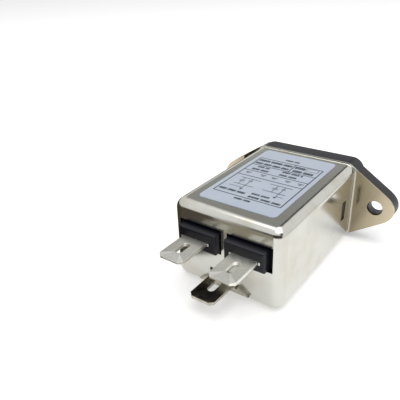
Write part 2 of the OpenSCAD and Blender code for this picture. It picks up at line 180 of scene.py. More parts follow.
def seen_directly(tree):
    """1 for the camera and for what metal or glass shows of the studio, 0 for plain lighting."""
    path = add(tree, "ShaderNodeLightPath")
    direct = add(tree, "ShaderNodeMath",
                 {0: path.outputs["Is Camera Ray"], 1: path.outputs["Is Glossy Ray"]}, operation="MAXIMUM")
    direct = add(tree, "ShaderNodeMath",
                 {0: direct.outputs[0], 1: path.outputs["Is Transmission Ray"]}, operation="MAXIMUM")
    return direct.outputs[0]


PAPER_GLOW = 0.36
SKY_LIGHT, SKY_SEEN = 0.5, 1.0

paper = bpy.data.materials.new("white_paper")
paper.use_nodes = True
tree = paper.node_tree
tree.nodes.clear()
matt = add(tree, "ShaderNodeBsdfDiffuse", {"Color": paint("#F4F4F4")})
glow = add(tree, "ShaderNodeEmission", {"Color": paint("#FFFFFF"), "Strength": PAPER_GLOW})
dark = add(tree, "ShaderNodeEmission", {"Color": paint("#FFFFFF"), "Strength": 0.0})
extra = add(tree, "ShaderNodeMixShader", {0: seen_directly(tree), 1: dark.outputs[0], 2: glow.outputs[0]})
both = add(tree, "ShaderNodeAddShader", {0: matt.outputs[0], 1: extra.outputs[0]})
add(tree, "ShaderNodeOutputMaterial", {"Surface": both.outputs[0]})
stage_sheet("floor", (6, 6), (0, 0, FLOOR_Z), Matrix.Identity(3), paper)

world = bpy.data.worlds.new("studio")
bpy.context.scene.world = world
world.use_nodes = True
tree = world.node_tree
tree.nodes.clear()
strength = add(tree, "ShaderNodeMapRange",
               {"Value": seen_directly(tree), "To Min": SKY_LIGHT, "To Max": SKY_SEEN})
sky = add(tree, "ShaderNodeBackground", {"Color": paint("#FFFFFF"), "Strength": strength.outputs[0]})
add(tree, "ShaderNodeOutputWorld", {"Surface": sky.outputs[0]})


def lamp(name, place, target, size, power):
    """A square soft light that looks at a point."""
    data = bpy.data.lights.new(name, "AREA")
    data.shape = "RECTANGLE"
    data.size, data.size_y = size
    data.energy = power
    light = bpy.data.objects.new(name, data)
    light.location = place
    light.rotation_euler = (Vector(target) - Vector(place)).to_track_quat("-Z", "Y").to_euler()
    bpy.context.scene.collection.objects.link(light)


LOOK_AT = (0, 0.02, 0)
lamp("overhead", (-0.10, 0.12, 0.75), LOOK_AT, (0.8, 0.8), 4.2)


def screen(name, azimuth, elevation, distance, size, colour):
    """A screen that only the metal sees, turned toward the object. Angles are in degrees."""
    a, e = math.radians(azimuth), math.radians(elevation)
    out = Vector((math.sin(a) * math.cos(e), math.cos(a) * math.cos(e), math.sin(e)))
    turn = out.to_track_quat("Z", "Y").to_matrix()
    card = stage_sheet(name, size, Vector(LOOK_AT) + out * distance, turn, emitter(name, paint(colour), 1.0))
    card.visible_camera = False
    card.visible_diffuse = False
    card.visible_shadow = False


screen("dark_screen_behind_camera", -20, 13, 0.7, (1.5, 0.40), "#3A322A")
screen("grey_screen_beyond", 152, 48, 0.9, (0.55, 1.0), "#A0A09F")
screen("dark_gap_beside_it", 176, 33, 0.9, (0.14, 0.5), "#3C3A36")
screen("table_edge", 213, -1, 0.3, (0.24, 0.009), "#3A3834")
screen("corner_screen", -64, 34, 0.6, (0.26, 0.22), "#3E352A")
screen("bronze_flag", 40, 0, 0.03, (0.024, 0.021), "#5B544D")
screen("shaded_paper_flag", 5, 0, 0.035, (0.022, 0.021), "#A39C8E")
screen("olive_flag", 90, 0, 0.0185, (0.056, 0.0208), "#4E4938")
print("floor at", round(FLOOR_Z / MM, 2), "mm")

# %% [markdown]
# ## Finishes
#
# Each finish starts from the real material: nickel plate on drawn steel, moulded
# thermoplastic, tin plate on brass and printed film. Metal gets its look from
# roughness, fine draw lines and dull patches; plastic from a fine grain and a weak
# gloss. All patterns read Object coordinates, which are metres on the real part.

# %% Material helpers
def start_material(name):
    """An empty material, its tree and its Object coordinates."""
    material = bpy.data.materials.new(name)
    material.use_nodes = True
    tree = material.node_tree
    tree.nodes.clear()
    where = add(tree, "ShaderNodeTexCoord")
    return material, tree, where.outputs["Object"]


def end_material(tree, surface, bump=None):
    """Closes a material with its output, and gives the surface its bump."""
    if bump is not None:
        tree.links.new(bump, surface.inputs["Normal"])
    add(tree, "ShaderNodeOutputMaterial", {"Surface": surface.outputs[0]})


def per_mm(size):
    """Noise scale for features of this size in millimetres."""
    return 1000.0 / size


# %% [markdown]
# ### Nickel plate on drawn steel
#
# The can was pulled from flat sheet, so faint draw lines run along it, and the
# plating on them is bright but not a mirror. Handling has left dull, slightly brown
# patches here and there. The ears get painted shade: darker and browner, darkest next
# to their bend, a painted reflection of the shaded paper and wall beside them.
# The streaks come from a noise that is stretched along the can. A mask on the part's
# X and Y finds the ears.

# %% Nickel plate
EAR_BEND, EAR_TIP = 15.0, 24.0
LINE_GAP, PATCH, GRAIN, WAVE = 0.35, 9.0, 0.25, 7.0

nickel_plate, tree, place = start_material("nickel_plated_steel")
stretch = add(tree, "ShaderNodeMapping", {"Vector": place, "Scale": (1.0, 0.04, 1.0)})
draw_lines = add(tree, "ShaderNodeTexNoise",
                 {"Vector": stretch.outputs[0], "Scale": per_mm(LINE_GAP), "Detail": 3.0})
patches = add(tree, "ShaderNodeTexNoise",
              {"Vector": place, "Scale": per_mm(PATCH), "Detail": 4.0, "Roughness": 0.55})
film = add(tree, "ShaderNodeMapRange", {"Value": patches.outputs["Fac"], "From Min": 0.46, "From Max": 0.72})
tint = add(tree, "ShaderNodeMix", {0: film.outputs[0], 6: paint("#CBCBC4"), 7: paint("#C0BBAE")},
           data_type="RGBA")

parts = add(tree, "ShaderNodeSeparateXYZ", {"Vector": place})
sideways = add(tree, "ShaderNodeMath", {0: parts.outputs["X"]}, operation="ABSOLUTE")
to_tip = add(tree, "ShaderNodeMapRange",
             {"Value": sideways.outputs[0], "From Min": EAR_BEND * MM, "From Max": EAR_TIP * MM})
# Painted shade on the ears: darkest at the bend, lighter toward the tip.
ear_painted_shade = add(tree, "ShaderNodeMix", {0: to_tip.outputs[0], 6: paint("#90856F"), 7: paint("#C0B49C")},
               data_type="RGBA")
on_flange = add(tree, "ShaderNodeMapRange",
                {"Value": parts.outputs["Y"], "From Min": 0.9 * MM, "From Max": 0.2 * MM})
on_ear = add(tree, "ShaderNodeMapRange",
             {"Value": sideways.outputs[0], "From Min": 13.8 * MM, "From Max": 14.6 * MM})
ear_shade_mask = add(tree, "ShaderNodeMath", {0: on_flange.outputs[0], 1: on_ear.outputs[0]}, operation="MULTIPLY")
tint_with_ear_shade = add(tree, "ShaderNodeMix", {0: ear_shade_mask.outputs[0], 6: tint.outputs[2], 7: ear_painted_shade.outputs[2]},
                 data_type="RGBA")

grain = add(tree, "ShaderNodeTexNoise", {"Vector": place, "Scale": per_mm(GRAIN), "Detail": 2.0})
dull = add(tree, "ShaderNodeMath", {0: film.outputs[0], 1: 0.06, 2: 0.15}, operation="MULTIPLY_ADD")
rough = add(tree, "ShaderNodeMath", {0: grain.outputs["Fac"], 1: 0.05, 2: dull.outputs[0]},
            operation="MULTIPLY_ADD")
waves = add(tree, "ShaderNodeTexNoise", {"Vector": place, "Scale": per_mm(WAVE), "Detail": 1.0})
relief = add(tree, "ShaderNodeMath", {0: draw_lines.outputs["Fac"], 1: 0.02, 2: waves.outputs["Fac"]},
             operation="MULTIPLY_ADD")
bump = add(tree, "ShaderNodeBump", {"Height": relief.outputs[0], "Strength": 0.35, "Distance": 0.06 * MM})
metal = add(tree, "ShaderNodeBsdfPrincipled",
            {"Base Color": tint_with_ear_shade.outputs[2], "Metallic": 1.0, "Roughness": rough.outputs[0]})
end_material(tree, metal, bump.outputs[0])
print("nickel draw lines about", LINE_GAP, "mm apart")

# %% [markdown]
# ### Moulded thermoplastics
#
# The inlet is glass-filled and moulded in a spark-eroded tool, so it is a satin
# charcoal with a fine grain. The two rear blocks are an unfilled nylon: a little
# bluer, a little smoother. The same recipe makes both.

# %% Plastics
def moulded_plastic(name, deep, light, rough, grain_mm, grain_height):
    """Satin moulded plastic with a fine grain and faint cloudy patches."""
    material, tree, place = start_material(name)
    clouds = add(tree, "ShaderNodeTexNoise", {"Vector": place, "Scale": per_mm(6.0), "Detail": 3.0})
    shade = add(tree, "ShaderNodeMix", {0: clouds.outputs["Fac"], 6: paint(deep), 7: paint(light)},
                data_type="RGBA")
    sheen_patch = add(tree, "ShaderNodeMath", {0: clouds.outputs["Fac"], 1: 0.12, 2: rough - 0.06},
                      operation="MULTIPLY_ADD")
    grain = add(tree, "ShaderNodeTexNoise", {"Vector": place, "Scale": per_mm(grain_mm), "Detail": 2.0})
    bump = add(tree, "ShaderNodeBump",
               {"Height": grain.outputs["Fac"], "Strength": 0.5, "Distance": grain_height * MM})
    body = add(tree, "ShaderNodeBsdfPrincipled", {"Base Color": shade.outputs[2], "IOR": 1.5,
               "Roughness": sheen_patch.outputs[0], "Specular IOR Level": 0.3})
    end_material(tree, body, bump.outputs[0])
    return material


inlet_plastic = moulded_plastic("glass_filled_inlet_plastic", "#141519", "#1B1C21", 0.42, 0.16, 0.012)
block_nylon = moulded_plastic("black_nylon", "#0C0D15", "#13141D", 0.34, 0.2, 0.008)


# %% [markdown]
# ### Pins and tabs
#
# The inlet's pins are nickel-plated brass, polished by rolling. The tabs are stamped
# from tinned strip: tin is soft and grey, and its surface is slightly mottled.

# %% Plated strip
def plated_strip(name, bright, dull, rough, mottle_mm):
    """Stamped and plated strip, mottled at the given scale."""
    material, tree, place = start_material(name)
    mottle = add(tree, "ShaderNodeTexNoise",
                 {"Vector": place, "Scale": per_mm(mottle_mm), "Detail": 4.0, "Roughness": 0.6})
    spread = add(tree, "ShaderNodeMapRange",
                 {"Value": mottle.outputs["Fac"], "From Min": 0.35, "From Max": 0.7})
    tint = add(tree, "ShaderNodeMix", {0: spread.outputs[0], 6: paint(bright), 7: paint(dull)},
               data_type="RGBA")
    worn = add(tree, "ShaderNodeMath", {0: spread.outputs[0], 1: 0.12, 2: rough}, operation="MULTIPLY_ADD")
    bump = add(tree, "ShaderNodeBump",
               {"Height": mottle.outputs["Fac"], "Strength": 0.4, "Distance": 0.01 * MM})
    metal = add(tree, "ShaderNodeBsdfPrincipled",
                {"Base Color": tint.outputs[2], "Metallic": 1.0, "Roughness": worn.outputs[0]})
    end_material(tree, metal, bump.outputs[0])
    return material


pin_nickel = plated_strip("nickel_plated_brass", "#E6E0D2", "#D2CAB8", 0.16, 1.4)
tinned_strip = plated_strip("tinned_strip", "#E6E6E0", "#D0D0C8", 0.34, 1.0)
# The earth tab's strip is painted darker than the other tabs: painted shade for the dark reflections on its
# blade.
painted_dark_earth_tin = plated_strip("tinned_strip_with_painted_shade", "#B8B3A8", "#9A9488", 0.12, 1.2)


# %% [markdown]
# ### Label film and ink
#
# The label is a polyester film with a matt top coat, pale blue-grey, printed in one
# dark ink. The ink lies on the film, so it is a piece of its own, a hair thick.

# %% Film and ink
label_film, tree, place = start_material("polyester_label_film")
haze = add(tree, "ShaderNodeTexNoise", {"Vector": place, "Scale": per_mm(5.0), "Detail": 2.0})
shade = add(tree, "ShaderNodeMix", {0: haze.outputs["Fac"], 6: paint("#AEB8C6"), 7: paint("#BAC3CF")},
            data_type="RGBA")
weave = add(tree, "ShaderNodeTexNoise", {"Vector": place, "Scale": per_mm(0.4), "Detail": 1.0})
bump = add(tree, "ShaderNodeBump",
           {"Height": weave.outputs["Fac"], "Strength": 0.2, "Distance": 0.004 * MM})
coat = add(tree, "ShaderNodeBsdfPrincipled", {"Base Color": shade.outputs[2], "Roughness": 0.45, "IOR": 1.5})
end_material(tree, coat, bump.outputs[0])

label_ink, tree, place = start_material("label_ink")
spread = add(tree, "ShaderNodeTexNoise", {"Vector": place, "Scale": per_mm(0.8), "Detail": 2.0})
shade = add(tree, "ShaderNodeMix", {0: spread.outputs["Fac"], 6: paint("#1C2028"), 7: paint("#343943")},
            data_type="RGBA")
coat = add(tree, "ShaderNodeBsdfPrincipled", {"Base Color": shade.outputs[2], "Roughness": 0.5, "IOR": 1.5})
end_material(tree, coat)
print("finishes so far:", len(bpy.data.materials))

# %% [markdown]
# ## Outlines with round corners
#
# The flange, the plate, the socket and the label are all plates with rounded
# corners. A face through the sharp corners, with each corner bevelled as far as its
# arc needs, gives them the same arcs that the drawing has.

# %% Outline and plate helpers
def corner_face(bm, corners, y=0.0):
    """A face through sharp corners (x, z) in millimetres, at depth y."""
    verts = [bm.verts.new((x * MM, y * MM, z * MM)) for x, z in corners]
    return bm.faces.new(verts)


def round_corners(bm, face, radii, segments=10):
    """Bevels each corner of a face into an arc. One radius for each corner, in order."""
    todo = list(zip(list(face.verts), radii))
    for vert, radius in todo:
        if radius <= 0:
            continue
        loop = next(l for l in vert.link_loops)
        before = (loop.link_loop_prev.vert.co - vert.co).normalized()
        after = (loop.link_loop_next.vert.co - vert.co).normalized()
        turn = math.pi - before.angle(after)
        bmesh.ops.bevel(bm, geom=[vert], offset=radius * MM * math.tan(turn / 2), offset_type="OFFSET",
                        segments=segments, profile=0.5, affect="VERTICES", material=-1)


def fill_between(bm, edges):
    """Fills a flat ring or a plate with holes, given all its outlines."""
    made = bmesh.ops.triangle_fill(bm, edges=edges, use_beauty=True)
    return [g for g in made["geom"] if isinstance(g, bmesh.types.BMFace)]


def outline(bm, corners, radii, y, segments=8):
    """Edges of an outline with round corners, lying at depth y."""
    face = corner_face(bm, corners, y)
    others = set(bm.faces) - {face}
    round_corners(bm, face, radii, segments)
    face = next(f for f in bm.faces if f not in others)
    edges = list(face.edges)
    bmesh.ops.delete(bm, geom=[face], context="FACES_ONLY")
    return edges


def loft(bm, loops):
    """Bridges each outline to the next."""
    for first, second in zip(loops, loops[1:]):
        bmesh.ops.bridge_loops(bm, edges=first + second)


def ring_of_edges(bm, x, y, z, radius):
    """A circle of edges that faces along Y, with its centre in millimetres."""
    turn = Matrix.Rotation(math.pi / 2, 4, "X")
    made = bmesh.ops.create_circle(bm, segments=32, radius=radius * MM,
                                   matrix=Matrix.Translation((x * MM, y * MM, z * MM)) @ turn)
    ring = set(made["verts"])
    return [e for e in bm.edges if e.verts[0] in ring and e.verts[1] in ring]


def cut_at(bm, faces, axis, value):
    """Cuts faces with a plane across an axis, at a value in millimetres."""
    spot, normal = Vector((0, 0, 0)), Vector((0, 0, 0))
    spot[axis], normal[axis] = value * MM, 1.0
    geom = list({v for f in faces for v in f.verts}) + list({e for f in faces for e in f.edges}) + list(faces)
    bmesh.ops.bisect_plane(bm, geom=geom, dist=1e-7, plane_co=spot, plane_no=normal)


# %% [markdown]
# ## The can
#
# The real can is one disc of sheet, drawn deep, then trimmed and pierced. Here a box
# gets its long edges and its rear edges rounded, the open mouth turns outward into
# the flange, and the sheet gets its thickness last, as the inner wall follows the
# outer one. The windows are cut while it is still a skin.

# %% Can sizes
HOLE_X, EAR_R, FLANGE_H = 20.0, 4.4, 21.0
CORNER_X, CORNER_R = 12.24, 2.5
CAN_W, CAN_H, CAN_D, CAN_R = 28.0, 20.4, 38.0, 2.5
SHEET_T = 0.5
WINDOW_X, WINDOW_Z = (0.75, 11.85), (-0.2, 5.9)
OPENING_X, OPENING_Z = (3.1, 3.9), (-6.0, -4.5)
LATCH_Y, LATCH_Z = (4.3, 6.6), (-2.6, 2.6)


def flange_corners(grow=0.0):
    """The flange's six sharp corners (x, z) and their radii, drawn out by grow."""
    top = FLANGE_H / 2
    to_ear = Vector((HOLE_X - CORNER_X, -top))
    fall = math.atan2(to_ear.y, to_ear.x) + math.asin(EAR_R / to_ear.length)
    apex = HOLE_X + EAR_R / math.sin(-fall)
    slope = math.tan(-fall)
    apex += grow / math.sin(-fall)
    top += grow
    corner = apex - top / slope
    corners = [(apex, 0), (corner, top), (-corner, top), (-apex, 0), (-corner, -top), (corner, -top)]
    ear, small = EAR_R + grow, CORNER_R + grow
    return corners, [ear, small, small, ear, small, small]


print("flange corners:", [(round(x, 2), round(z, 2)) for x, z in flange_corners()[0]])

# %% Drawn skin with its mouth turned out
can = bmesh.new()
bmesh.ops.create_cube(can, size=1.0, matrix=Matrix.Translation((0, CAN_D / 2 * MM, 0))
                      @ Matrix.Diagonal((CAN_W * MM, CAN_D * MM, CAN_H * MM, 1)))
long_edges = [e for e in can.edges if abs(e.verts[0].co.y - e.verts[1].co.y) > MM]
rear_edges = [e for e in can.edges if min(v.co.y for v in e.verts) > (CAN_D - 1) * MM]
bmesh.ops.bevel(can, geom=long_edges + rear_edges, offset=CAN_R * MM, offset_type="OFFSET", segments=12,
                profile=0.5, affect="EDGES", material=-1, clamp_overlap=False)
front = [f for f in can.faces if max(v.co.y for v in f.verts) < 0.01 * MM]
bmesh.ops.delete(can, geom=front, context="FACES_ONLY")


def outward(co):
    """Direction out of the can's section at a point of its mouth."""
    x = max(-(CAN_W / 2 - CAN_R) * MM, min(co.x, (CAN_W / 2 - CAN_R) * MM))
    z = max(-(CAN_H / 2 - CAN_R) * MM, min(co.z, (CAN_H / 2 - CAN_R) * MM))
    return Vector((co.x - x, 0, co.z - z)).normalized()


mouth = [e for e in can.edges if e.is_boundary]
ways, reach = {}, {}
for vert in {v for e in mouth for v in e.verts}:
    vert.tag = True
    ways[vert] = outward(vert.co)
    reach[vert] = (0.2 + 0.25 * abs(ways[vert].x) ** 6) * MM
for vert in ways:
    vert.co.y = reach[vert]
BEND_STEPS = 6
for step in range(BEND_STEPS):
    made = bmesh.ops.extrude_edge_only(can, edges=mouth)["geom"]
    new_verts = [g for g in made if isinstance(g, bmesh.types.BMVert)]
    old = {v: next(e.other_vert(v) for e in v.link_edges if e.other_vert(v) in ways) for v in new_verts}
    a0, a1 = math.pi / 2 * step / BEND_STEPS, math.pi / 2 * (step + 1) / BEND_STEPS
    for vert, before in old.items():
        way, r = ways[before], reach[before]
        forward = Vector((0, r * (math.sin(a1) - math.sin(a0)), 0))
        vert.co = before.co + way * r * (math.cos(a0) - math.cos(a1)) - forward
        ways[vert], reach[vert] = way, r
    mouth = [g for g in made if isinstance(g, bmesh.types.BMEdge) and g.is_boundary]
print("mouth edges:", len(mouth))

# %% Flange with its ears and screw holes
rim_edges = outline(can, *flange_corners(), 0.0, 16)
holes = ring_of_edges(can, HOLE_X, 0, 0, 1.95) + ring_of_edges(can, -HOLE_X, 0, 0, 1.95)
flange_faces = fill_between(can, rim_edges + holes + mouth)
print("flange faces:", len(flange_faces))

# %% Windows for the rear blocks, the earth tab and the snap hooks
def is_back(face):
    """True for the faces of the back wall and of its round edge."""
    return face.calc_center_median().y > (CAN_D - CAN_R) * MM


def is_side(face):
    """True for the flat faces at the can's left and right."""
    centre = face.calc_center_median() / MM
    return abs(centre.x) > CAN_W / 2 - 0.01 and centre.y > 1


cuts = ((is_back, 0, WINDOW_X + OPENING_X), (is_back, 2, WINDOW_Z + OPENING_Z),
        (is_side, 1, LATCH_Y), (is_side, 2, LATCH_Z))
for wanted, axis, values in cuts:
    for value in values:
        for sign in ((-1, 1) if axis == 0 else (1,)):
            cut_at(can, [f for f in can.faces if wanted(f)], axis, sign * value)


def in_window(face):
    """True for a face of the skin that lies in a window."""
    c = face.calc_center_median() / MM
    if is_side(face):
        return LATCH_Y[0] < c.y < LATCH_Y[1] and LATCH_Z[0] < c.z < LATCH_Z[1]
    return is_back(face) and any(x[0] < abs(c.x) < x[1] and z[0] < c.z < z[1]
                                 for x, z in ((WINDOW_X, WINDOW_Z), (OPENING_X, OPENING_Z)))


gone = [f for f in can.faces if in_window(f)]
bmesh.ops.delete(can, geom=gone, context="FACES")
bmesh.ops.recalc_face_normals(can, faces=can.faces)
middle = Vector((0, CAN_D / 2 * MM, 0))
walls = [f for f in can.faces if f.calc_center_median().y > 10 * MM]
if sum(f.normal.dot(f.calc_center_median() - middle) for f in walls) < 0:
    bmesh.ops.reverse_faces(can, faces=can.faces)
print("faces cut away:", len(gone))

# %% Sheet thickness and soft edges
can_shell = finish_mesh("can_shell", can, nickel_plate, "can")
wall = can_shell.modifiers.new("sheet", "SOLIDIFY")
wall.thickness = SHEET_T * MM
wall.offset = -1.0
wall.use_even_offset = True
wall.use_quality_normals = True
soft_edges(can_shell, 0.09)

# %% [markdown]
# ## The moulded inlet
#
# The inlet is one moulding: a plate behind the panel, a collar round the socket, the
# socket itself and a body that reaches into the can. Its surfaces are lofts between
# outlines that have the same number of points, so each step is one bridge, and each
# flat face is one fill between its outlines.

# %% Inlet sizes
PLATE_BACK, PLATE_FRONT, COLLAR_FRONT = -0.5, -4.4, -6.0
SOCKET_X, SOCKET_Z, SOCKET_KEY, SOCKET_FLOOR = 12.2, 8.3, 5.4, 11.0
BODY_END = 12.55


def socket_corners(grow=0.0):
    """The socket's six corners and their radii, drawn out by grow."""
    x, z, k = SOCKET_X + grow, SOCKET_Z + grow, SOCKET_KEY + grow * (2 - math.sqrt(2))
    corners = [(x, z), (-x, z), (-x, k - z), (k - x, -z), (x - k, -z), (x, k - z)]
    return corners, [2 + grow, 2 + grow] + [1 + grow] * 4


def collar_corners(grow=0.0):
    """The collar's six corners and their radii. Its slanted corners are smaller than the socket's."""
    x, z = 14.6 + grow, 10.3 + grow
    corners = [(x, z), (-x, z), (-x, -5.9), (-10.2, -z), (10.2, -z), (x, -5.9)]
    return corners, [3.4 + grow, 3.4 + grow] + [1.5 + grow] * 4


# %% Plate, collar and socket
inlet = bmesh.new()
plate_steps = [(PLATE_BACK, 0.0), (PLATE_FRONT + 0.4, 0.0), (PLATE_FRONT + 0.2, -0.05),
               (PLATE_FRONT + 0.06, -0.18), (PLATE_FRONT, -0.4)]
plate_loops = [outline(inlet, *flange_corners(grow), y) for y, grow in plate_steps]
loft(inlet, plate_loops)
collar_steps = [(PLATE_FRONT, -0.22), (COLLAR_FRONT + 0.4, -0.12), (COLLAR_FRONT + 0.2, -0.17),
                (COLLAR_FRONT + 0.06, -0.3), (COLLAR_FRONT, -0.5)]
collar_loops = [outline(inlet, *collar_corners(grow), y) for y, grow in collar_steps]
loft(inlet, collar_loops)
socket_steps = [(COLLAR_FRONT, 0.12), (COLLAR_FRONT + 0.12, 0.0), (SOCKET_FLOOR, 0.0)]
socket_loops = [outline(inlet, *socket_corners(grow), y) for y, grow in socket_steps]
loft(inlet, socket_loops)
screw_steps = [(PLATE_FRONT, 2.9), (PLATE_FRONT + 1.4, 1.75), (PLATE_BACK, 1.75)]
screw_front, screw_back = [], []
for x in (-HOLE_X, HOLE_X):
    rings = [ring_of_edges(inlet, x, y, 0, radius) for y, radius in screw_steps]
    loft(inlet, rings)
    screw_front += rings[0]
    screw_back += rings[-1]
body_corners = [(13.35, 9.55), (-13.35, 9.55), (-13.35, -9.55), (13.35, -9.55)]
body_loops = [outline(inlet, body_corners, [1.85] * 4, y) for y in (PLATE_BACK, BODY_END)]
loft(inlet, body_loops)
fill_between(inlet, plate_loops[-1] + collar_loops[0] + screw_front)
fill_between(inlet, collar_loops[-1] + socket_loops[0])
fill_between(inlet, socket_loops[-1])
fill_between(inlet, plate_loops[0] + body_loops[0] + screw_back)
fill_between(inlet, body_loops[-1])
bmesh.ops.recalc_face_normals(inlet, faces=inlet.faces)
print("inlet edges left open:", sum(e.is_boundary for e in inlet.edges))


# %% Snap hooks
def slanted_block(bm, low, high, taper_axis, taper_end, taper):
    """A block in millimetres whose end face is drawn in on each side by taper."""
    size = [(b - a) * MM for a, b in zip(low, high)]
    middle = [(a + b) / 2 * MM for a, b in zip(low, high)]
    place = Matrix.Translation(middle) @ Matrix.Diagonal((*size, 1))
    made = bmesh.ops.create_cube(bm, size=1.0, matrix=place)["verts"]
    end = (high if taper_end > 0 else low)[taper_axis] * MM
    for vert in made:
        if abs(vert.co[taper_axis] - end) < 1e-7:
            for axis in range(3):
                if axis != taper_axis:
                    vert.co[axis] -= math.copysign(taper[axis] * MM, vert.co[axis] - middle[axis])
    return made


for side in (-1, 1):
    low = min(side * 13.0, side * 13.85)
    slanted_block(inlet, (low, 4.45, -2.3), (low + 0.85, 6.45, 2.3), 0, side, (0, 0.12, 0.12))
inlet_moulding = finish_mesh("inlet_moulding", inlet, inlet_plastic, "inlet_housing")
soft_edges(inlet_moulding, 0.1)

# %% [markdown]
# ## Contact pins
#
# Each pin is flat bar with a drawn-in tip, so that the plug's contacts slide over it.
# A block that is cut across near its tip, with the tip's corners moved in, is enough.

# %% Pins
def pin_piece(name, x, z, tip, node):
    """A flat pin with a drawn-in tip."""
    bm = bmesh.new()
    slanted_block(bm, (x - 1, tip, z - 2), (x + 1, tip + 0.8, z + 2), 1, -1, (0.55, 0, 0.7))
    joint = [f for f in bm.faces if f.normal.y > 0.9]
    grown = bmesh.ops.extrude_face_region(bm, geom=joint)["geom"]
    shank = [g for g in grown if isinstance(g, bmesh.types.BMVert)]
    bmesh.ops.translate(bm, vec=(0, (BODY_END - tip - 0.8) * MM, 0), verts=shank)
    bmesh.ops.delete(bm, geom=joint, context="FACES_ONLY")
    piece = finish_mesh(name, bm, pin_nickel, node, smooth=False)
    soft_edges(piece, 0.12, 3, 12)
    return piece


pin_piece("line_blade", 7, 2, -1.6, "line_pin")
pin_piece("neutral_blade", -7, 2, -1.6, "neutral_pin")
pin_piece("earth_blade", 0, -2, -3.8, "earth_pin")

# %% [markdown]
# ## Rear blocks
#
# Each block is pushed through its window from inside. Its nose is a little smaller
# than the window, so a dark step is left around it, and its front edges are chamfered.

# %% Rear blocks
TAB_X, TAB_Z, BACK = 6.35, 2.7, 38.0
NOSE_X, NOSE_Z, NOSE_REACH = (1.0, 11.0), (0.3, 5.3), 2.0


def block_piece(name, side, node):
    """A step that fills the window, and on it the nose with its chamfered front."""
    bm = bmesh.new()
    step_low = (WINDOW_X[0] - 0.5, BACK - 1.5, WINDOW_Z[0] - 1)
    step_high = (WINDOW_X[1] - 0.35, BACK - 1.0, WINDOW_Z[1] + 1)
    slanted_block(bm, step_low, step_high, 1, 1, (0, 0, 0))
    nose_low = (NOSE_X[0], BACK - 1.2, NOSE_Z[0])
    nose_high = (NOSE_X[1], BACK + NOSE_REACH, NOSE_Z[1])
    slanted_block(bm, nose_low, nose_high, 1, 1, (0.06, 0, 0.04))
    front = [e for e in bm.edges if all(v.co.y > (BACK + NOSE_REACH - 0.1) * MM for v in e.verts)]
    bmesh.ops.bevel(bm, geom=front, offset=0.5 * MM, offset_type="OFFSET", segments=2, profile=0.5,
                    affect="EDGES", material=-1)
    if side < 0:
        bmesh.ops.scale(bm, vec=(-1, 1, 1), verts=bm.verts)
    bmesh.ops.recalc_face_normals(bm, faces=bm.faces)
    piece = finish_mesh(name, bm, block_nylon, node, smooth=False)
    soft_edges(piece, 0.14, 3, 30)
    return piece


block_piece("line_block", 1, "line_insulator")
block_piece("neutral_block", -1, "neutral_insulator")

# %% [markdown]
# ## Tabs
#
# The tabs are blanked from 0.8 mm strip: two cut corners and a slot at the tip, and
# shoulders where the blade enters the block. The blank's face is filled between its
# outline and its slot and then pulled to its thickness.

# %% Tab blanks
TAB_W, TAB_T, TAB_CUT = 6.3, 0.8, 0.9


def blank(bm, corners, slot, z):
    """The flat face of a tab at height z: its outline (x, y) and a slot (x, from, to, radius)."""
    verts = [bm.verts.new((x * MM, y * MM, z * MM)) for x, y in corners]
    edges = [bm.edges.new((a, b)) for a, b in zip(verts, verts[1:] + verts[:1])]
    x, y0, y1, r = slot
    steps = 10
    turns = [math.pi * i / steps for i in range(steps + 1)]
    ring = [(x + r * math.cos(t), y1 - r + r * math.sin(t)) for t in turns]
    ring += [(x - r * math.cos(t), y0 + r - r * math.sin(t)) for t in turns]
    inner = [bm.verts.new((px * MM, py * MM, z * MM)) for px, py in ring]
    edges += [bm.edges.new((a, b)) for a, b in zip(inner, inner[1:] + inner[:1])]
    return fill_between(bm, edges)


def tab_corners(x, y0, y1):
    """Outline of a blade that ends at y1 with two cut corners."""
    w, cut = TAB_W / 2, TAB_CUT
    return [(x - w, y0), (x + w, y0), (x + w, y1 - cut), (x + w - cut, y1),
            (x - w + cut, y1), (x - w, y1 - cut)]


def thicken(bm, faces, vec):
    """Pulls a flat face into a slab."""
    grown = bmesh.ops.extrude_face_region(bm, geom=faces)["geom"]
    bmesh.ops.translate(bm, vec=vec, verts=[g for g in grown if isinstance(g, bmesh.types.BMVert)])
    bmesh.ops.recalc_face_normals(bm, faces=bm.faces)


def tab_piece(name, side, node):
    """One tab with its shoulders."""
    bm = bmesh.new()
    tip = 49.0
    slot = (TAB_X, tip - 6.75, tip - 2.75, 0.85)
    faces = blank(bm, tab_corners(TAB_X, BACK - 1, tip), slot, TAB_Z - TAB_T / 2)
    thicken(bm, faces, (0, 0, TAB_T * MM))
    for vert in bm.verts:
        if vert.co.y > (tip - 0.1) * MM:
            vert.co.z += math.copysign(0.2 * MM, TAB_Z * MM - vert.co.z)
    for edge in (-1, 1):
        x = TAB_X + edge * 3.5
        low = (x - 0.3, BACK - 0.5, TAB_Z - 0.4)
        high = (x + 0.3, BACK + NOSE_REACH + 0.15, TAB_Z + 0.4)
        slanted_block(bm, low, high, 1, 1, (0.08, 0, 0.08))
    if side < 0:
        bmesh.ops.scale(bm, vec=(-1, 1, 1), verts=bm.verts)
    bmesh.ops.recalc_face_normals(bm, faces=bm.faces)
    piece = finish_mesh(name, bm, tinned_strip, node, smooth=False)
    soft_edges(piece, 0.07, 2, 30)
    return piece


tab_piece("line_blade_tab", 1, "line_tab")
tab_piece("neutral_blade_tab", -1, "neutral_tab")

# %% [markdown]
# ## Earth tab
#
# The earth tab is bent up from a foot that is welded to the back wall. Its upper skin
# is drawn first: the foot, a quarter bend and the blade. The sheet's thickness comes
# last, so the bend keeps one thickness all round.

